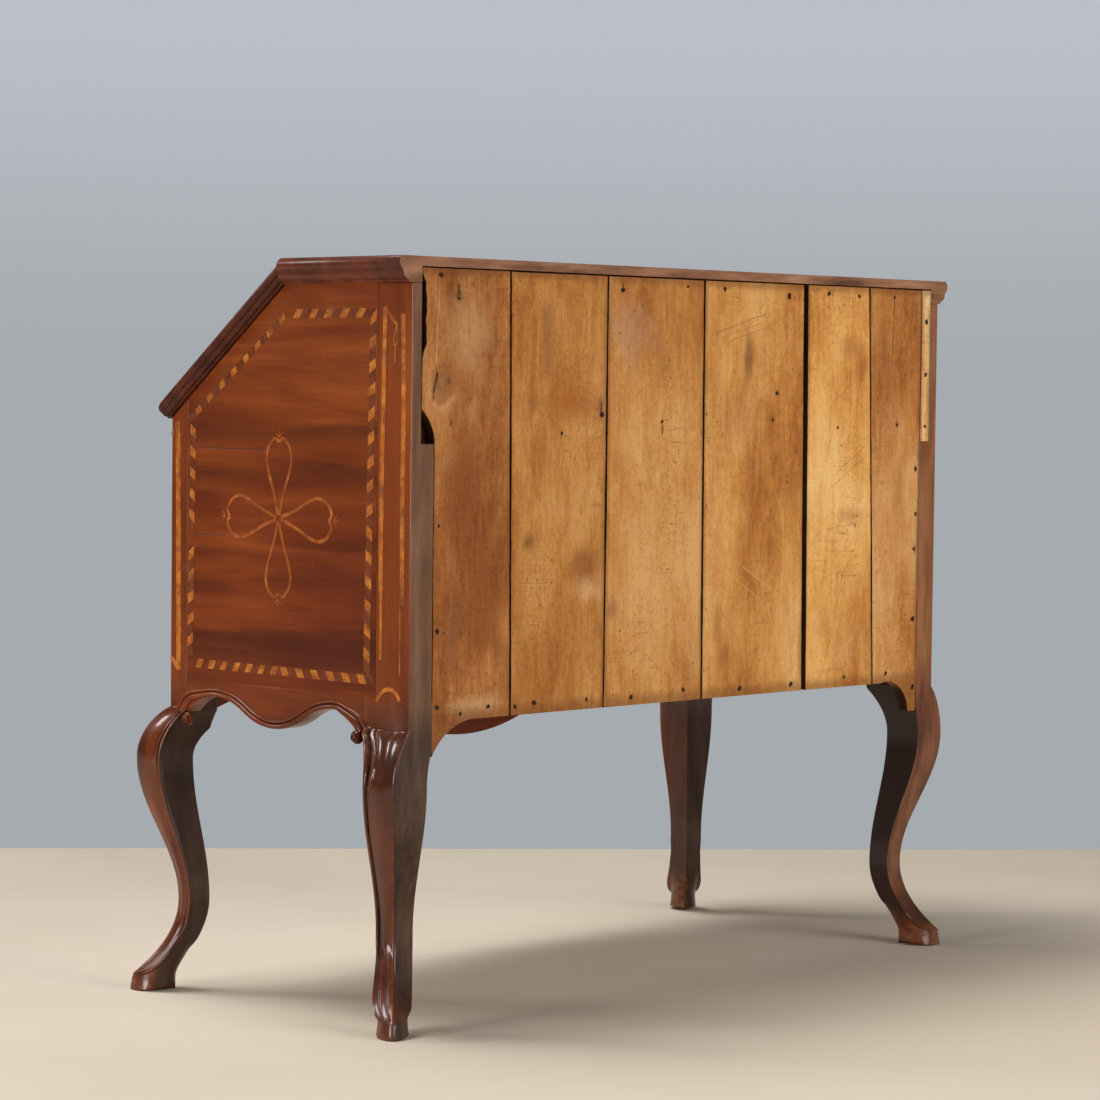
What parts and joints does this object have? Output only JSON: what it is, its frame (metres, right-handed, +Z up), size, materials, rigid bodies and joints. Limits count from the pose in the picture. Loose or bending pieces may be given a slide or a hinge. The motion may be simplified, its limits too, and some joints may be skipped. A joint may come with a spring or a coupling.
{
  "type": "fall-front desk",
  "caption": "Slant-front writing desk on cabriole legs: inlaid sides, a fall that opens onto slides, long drawers with bail handles and a gallery of pigeonholes.",
  "frame": {"origin": "middle of the ground the desk covers, at floor height", "axes": "+X to the right of someone who faces the fall and the drawers, +Y towards the plank back, +Z up; the fall and the drawers face -Y"},
  "size_m": [1.1222, 0.5142, 0.98],
  "materials": {
    "walnut": "waxed",
    "softwood": "bare",
    "brass": "aged",
    "iron": "dull"
  },
  "bodies": {
    "case": {"back_batten": "softwood", "back_plank_1": "softwood", "back_plank_2": "softwood", "back_plank_3": "softwood", "back_plank_4": "softwood", "back_plank_5": "softwood", "back_plank_6": "softwood", "bottom_board": "softwood", "desk_floor": "walnut", "drawer_divider": "softwood", "drawer_partitions": "softwood", "front_apron": "walnut", "front_left_leg": "walnut", "front_right_leg": "walnut", "gallery_end_blocks": "softwood", "gallery_shelf": "softwood", "guide_strips": "softwood", "hinge_fixed_leaves": "brass", "hinge_pins": "brass", "left_loper_housing": "softwood", "left_side_apron": "walnut", "left_side_panel": "walnut", "pigeonhole_dividers": "softwood", "rear_left_leg": "walnut", "rear_right_leg": "walnut", "right_loper_housing": "softwood", "right_side_apron": "walnut", "right_side_panel": "walnut", "top_board": "walnut"},
    "fall": {"fall_board": "walnut", "fall_lock": "iron", "fall_keyhole_plate": "brass", "hinge_moving_leaves": "brass"},
    "right_loper": {"right_loper": "softwood"},
    "left_loper": {"left_loper": "softwood"},
    "lower_drawer": {"lower_drawer_front": "walnut", "lower_drawer_sides": "softwood", "lower_drawer_back": "softwood", "lower_drawer_floor": "softwood", "lower_drawer_keyhole_plate": "brass", "lower_drawer_handle_posts": "brass"},
    "lower_drawer_right_bail": {"lower_drawer_right_bail": "brass"},
    "lower_drawer_left_bail": {"lower_drawer_left_bail": "brass"},
    "upper_drawer": {"upper_drawer_front": "walnut", "upper_drawer_sides": "softwood", "upper_drawer_back": "softwood", "upper_drawer_floor": "softwood", "upper_drawer_keyhole_plate": "brass", "upper_drawer_handle_posts": "brass"},
    "upper_drawer_right_bail": {"upper_drawer_right_bail": "brass"},
    "upper_drawer_left_bail": {"upper_drawer_left_bail": "brass"},
    "small_drawer_1": {"small_drawer_1_front": "walnut", "small_drawer_1_tray": "softwood"},
    "small_drawer_2": {"small_drawer_2_front": "walnut", "small_drawer_2_tray": "softwood"},
    "small_drawer_3": {"small_drawer_3_front": "walnut", "small_drawer_3_tray": "softwood"},
    "small_drawer_4": {"small_drawer_4_front": "walnut", "small_drawer_4_tray": "softwood"}
  },
  "joints": [
    {"name": "fall_hinge", "type": "hinge", "parent": "case", "child": "fall", "pos_m": [0, -0.21159, 0.771], "axis": [1, 0, 0], "range_deg": [0, 142.3]},
    {"name": "right_loper_slide", "type": "slide", "parent": "case", "child": "right_loper", "axis": [0, -1, 0], "range_m": [0, 0.26]},
    {"name": "left_loper_slide", "type": "slide", "parent": "case", "child": "left_loper", "axis": [0, -1, 0], "range_m": [0, 0.26]},
    {"name": "lower_drawer_slide", "type": "slide", "parent": "case", "child": "lower_drawer", "axis": [0, -1, 0], "range_m": [0, 0.3]},
    {"name": "lower_drawer_right_bail_swing", "type": "hinge", "parent": "lower_drawer", "child": "lower_drawer_right_bail", "pos_m": [0.27, -0.223, 0.53365], "axis": [-1, 0, 0], "range_deg": [0, 90]},
    {"name": "lower_drawer_left_bail_swing", "type": "hinge", "parent": "lower_drawer", "child": "lower_drawer_left_bail", "pos_m": [-0.27, -0.223, 0.53365], "axis": [-1, 0, 0], "range_deg": [0, 90]},
    {"name": "upper_drawer_slide", "type": "slide", "parent": "case", "child": "upper_drawer", "axis": [0, -1, 0], "range_m": [0, 0.3]},
    {"name": "upper_drawer_right_bail_swing", "type": "hinge", "parent": "upper_drawer", "child": "upper_drawer_right_bail", "pos_m": [0.27, -0.223, 0.69665], "axis": [-1, 0, 0], "range_deg": [0, 90]},
    {"name": "upper_drawer_left_bail_swing", "type": "hinge", "parent": "upper_drawer", "child": "upper_drawer_left_bail", "pos_m": [-0.27, -0.223, 0.69665], "axis": [-1, 0, 0], "range_deg": [0, 90]},
    {"name": "small_drawer_1_slide", "type": "slide", "parent": "case", "child": "small_drawer_1", "axis": [0, -1, 0], "range_m": [0, 0.12]},
    {"name": "small_drawer_2_slide", "type": "slide", "parent": "case", "child": "small_drawer_2", "axis": [0, -1, 0], "range_m": [0, 0.12]},
    {"name": "small_drawer_3_slide", "type": "slide", "parent": "case", "child": "small_drawer_3", "axis": [0, -1, 0], "range_m": [0, 0.12]},
    {"name": "small_drawer_4_slide", "type": "slide", "parent": "case", "child": "small_drawer_4", "axis": [0, -1, 0], "range_m": [0, 0.12]}
  ]
}
